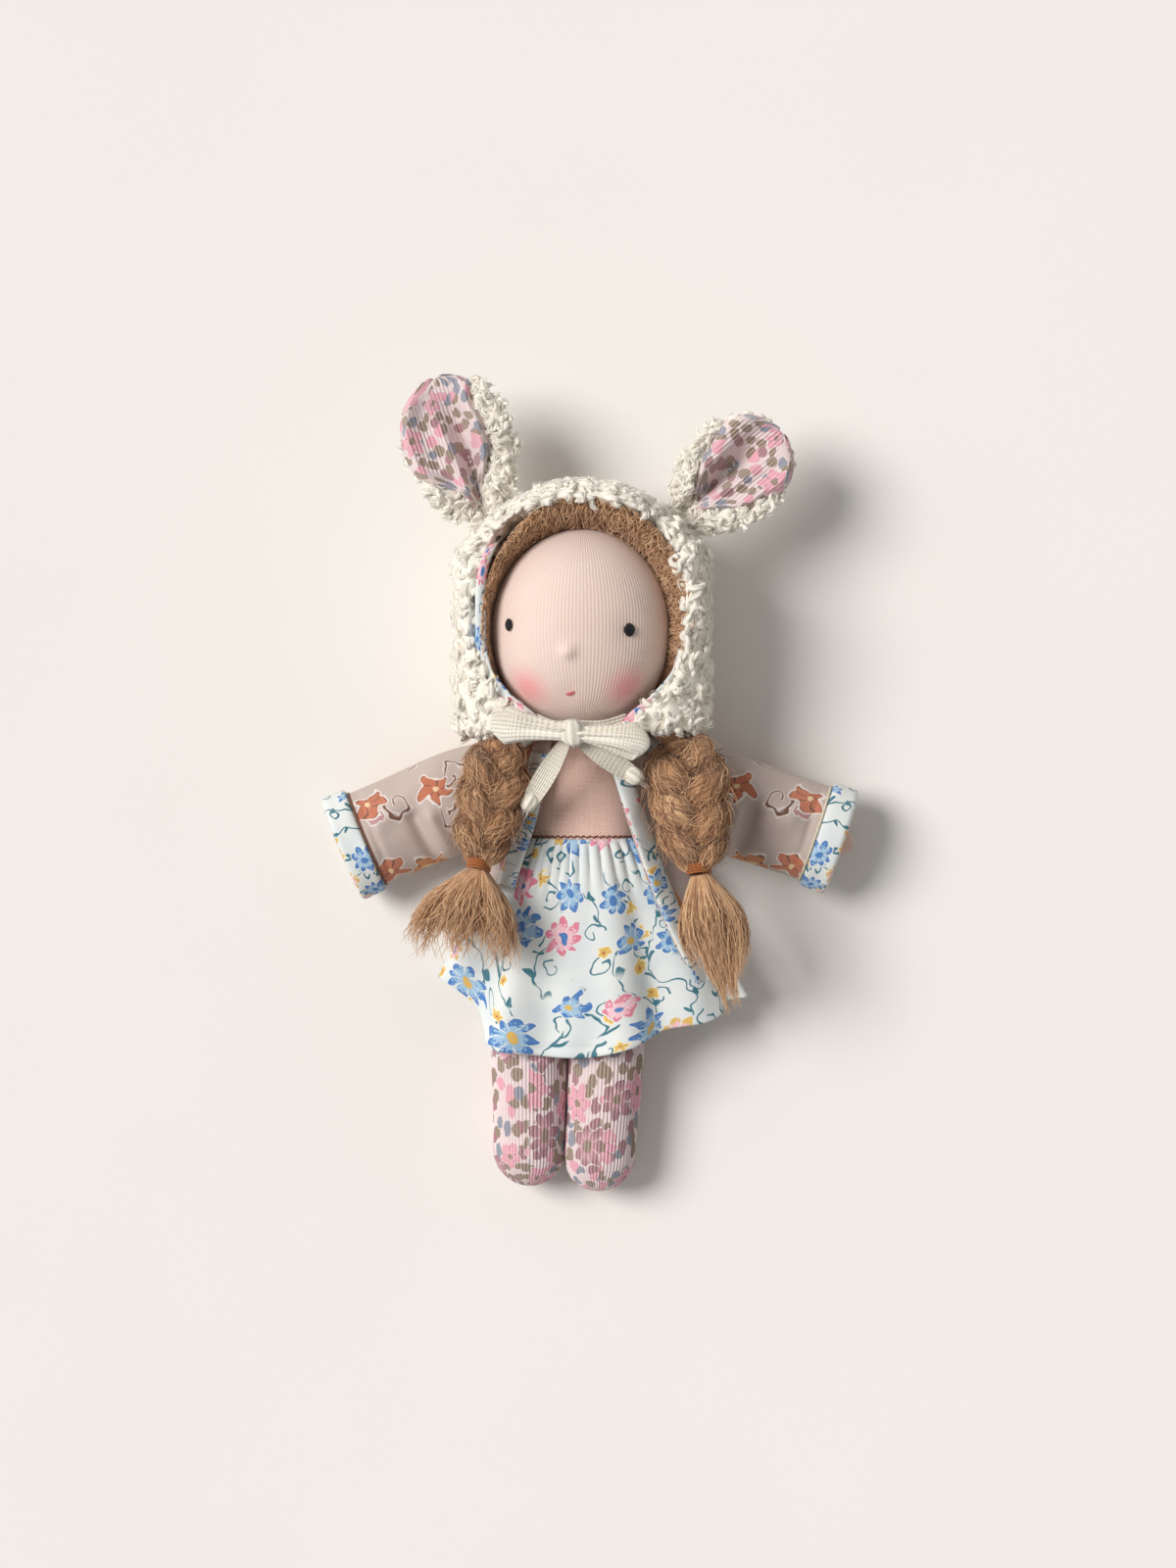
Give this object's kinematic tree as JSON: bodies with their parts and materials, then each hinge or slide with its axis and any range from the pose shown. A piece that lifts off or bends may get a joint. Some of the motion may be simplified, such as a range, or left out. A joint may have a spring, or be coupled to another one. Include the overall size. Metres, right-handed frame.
{
  "type": "waldorf doll",
  "caption": "Small stuffed cloth doll with braided hair, a plush bonnet with bunny ears tied under the chin, an open jacket, a gathered skirt and corduroy legs, lying on its back.",
  "frame": {"origin": "on the flat patch of the jacket's back that the lying doll rests on, level with the waist", "axes": "+Z out of the face, +Y towards the crown, +X towards the doll's own left hand"},
  "size_m": [0.1501, 0.2283, 0.055],
  "materials": {
    "linen": "plain linen weave",
    "stuffing": "combed wool",
    "elastic": "woven elastic",
    "skirt_cotton": "printed cotton",
    "jacket_cotton": "printed cotton",
    "lining_cotton": "printed cotton",
    "jersey": "ribbed jersey",
    "thread": "strong thread",
    "eye_thread": "satin stitch",
    "mouth_thread": "back stitch",
    "mohair": "brushed mohair",
    "plush": "curly plush",
    "corduroy": "printed corduroy",
    "tie_thread": "wound thread",
    "tape": "knitted cotton tape"
  },
  "bodies": {
    "torso": {"torso_cover": "linen", "torso_stuffing": "stuffing", "waist_elastic": "elastic", "skirt_yoke": "skirt_cotton", "jacket_lining": "lining_cotton", "jacket_shell": "jacket_cotton", "jacket_edge_right": "lining_cotton", "jacket_edge_left": "lining_cotton"},
    "head": {"head_skin": "jersey", "head_core": "stuffing", "neck_thread": "thread", "eye_left": "eye_thread", "eye_right": "eye_thread", "mouth": "mouth_thread", "hair_cap": "mohair", "bonnet_lining": "lining_cotton", "bonnet_shell": "plush", "bow_knot": "tape", "bow_loop_right": "tape", "bow_loop_left": "tape", "bow_tail_right": "tape", "bow_tail_left": "tape", "chin_tape_left": "tape", "chin_tape_right": "tape"},
    "ear_left": {"ear_plush_left": "plush", "ear_lining_left": "corduroy"},
    "ear_right": {"ear_plush_right": "plush", "ear_lining_right": "corduroy"},
    "braid_left": {"braid_left": "mohair", "braid_tie_left": "tie_thread", "braid_tail_left": "mohair"},
    "braid_right": {"braid_right": "mohair", "braid_tie_right": "tie_thread", "braid_tail_right": "mohair"},
    "arm_left": {"arm_cover_left": "linen", "arm_stuffing_left": "stuffing", "sleeve_left": "jacket_cotton", "cuff_left": "lining_cotton"},
    "arm_right": {"arm_cover_right": "linen", "arm_stuffing_right": "stuffing", "sleeve_right": "jacket_cotton", "cuff_right": "lining_cotton"},
    "lap": {"skirt_flare": "skirt_cotton"},
    "leg_left": {"leg_cover_left": "corduroy", "leg_stuffing_left": "stuffing"},
    "leg_right": {"leg_cover_right": "corduroy", "leg_stuffing_right": "stuffing"}
  },
  "joints": [
    {"name": "neck_turn", "type": "hinge", "parent": "torso", "child": "head", "pos_m": [0.0015, 0.0306, 0.0161], "axis": [0, 1, 0], "range_deg": [-10, 10]},
    {"name": "ear_left_flop", "type": "hinge", "parent": "head", "child": "ear_left", "pos_m": [0.02961, 0.09176, 0.0272], "axis": [0.6494, -0.7604, 0], "range_deg": [-30, 60], "stiffness_Nm_per_rad": 0.004},
    {"name": "ear_right_flop", "type": "hinge", "parent": "head", "child": "ear_right", "pos_m": [-0.02679, 0.09192, 0.0272], "axis": [0.9455, 0.3256, 0], "range_deg": [-30, 60], "stiffness_Nm_per_rad": 0.004},
    {"name": "braid_left_swing", "type": "hinge", "parent": "head", "child": "braid_left", "pos_m": [0.0295, 0.0245, 0.034], "axis": [-0.7071, 0, 0.7071], "range_deg": [0, 40]},
    {"name": "braid_right_swing", "type": "hinge", "parent": "head", "child": "braid_right", "pos_m": [-0.022, 0.0245, 0.035], "axis": [-0.7071, 0, -0.7071], "range_deg": [0, 40]},
    {"name": "arm_left_raise", "type": "hinge", "parent": "torso", "child": "arm_left", "pos_m": [0.025, 0.017, 0.0125], "axis": [0, 0, 1], "range_deg": [-10, 45], "deforming": ["sleeve_left"]},
    {"name": "arm_right_raise", "type": "hinge", "parent": "torso", "child": "arm_right", "pos_m": [-0.022, 0.017, 0.0125], "axis": [0, 0, -1], "range_deg": [-10, 45], "deforming": ["sleeve_right"]},
    {"name": "sit_fold", "type": "hinge", "parent": "torso", "child": "lap", "pos_m": [-0.003, -0.034, 0.0137], "axis": [-1, 0, 0], "range_deg": [-12, 85], "deforming": ["skirt_yoke", "skirt_flare"]},
    {"name": "leg_left_spread", "type": "hinge", "parent": "lap", "child": "leg_left", "pos_m": [0.00795, -0.034, 0.0137], "axis": [0, 0, 1], "range_deg": [0, 15]},
    {"name": "leg_right_spread", "type": "hinge", "parent": "lap", "child": "leg_right", "pos_m": [-0.01395, -0.034, 0.0137], "axis": [0, 0, -1], "range_deg": [0, 15]}
  ]
}
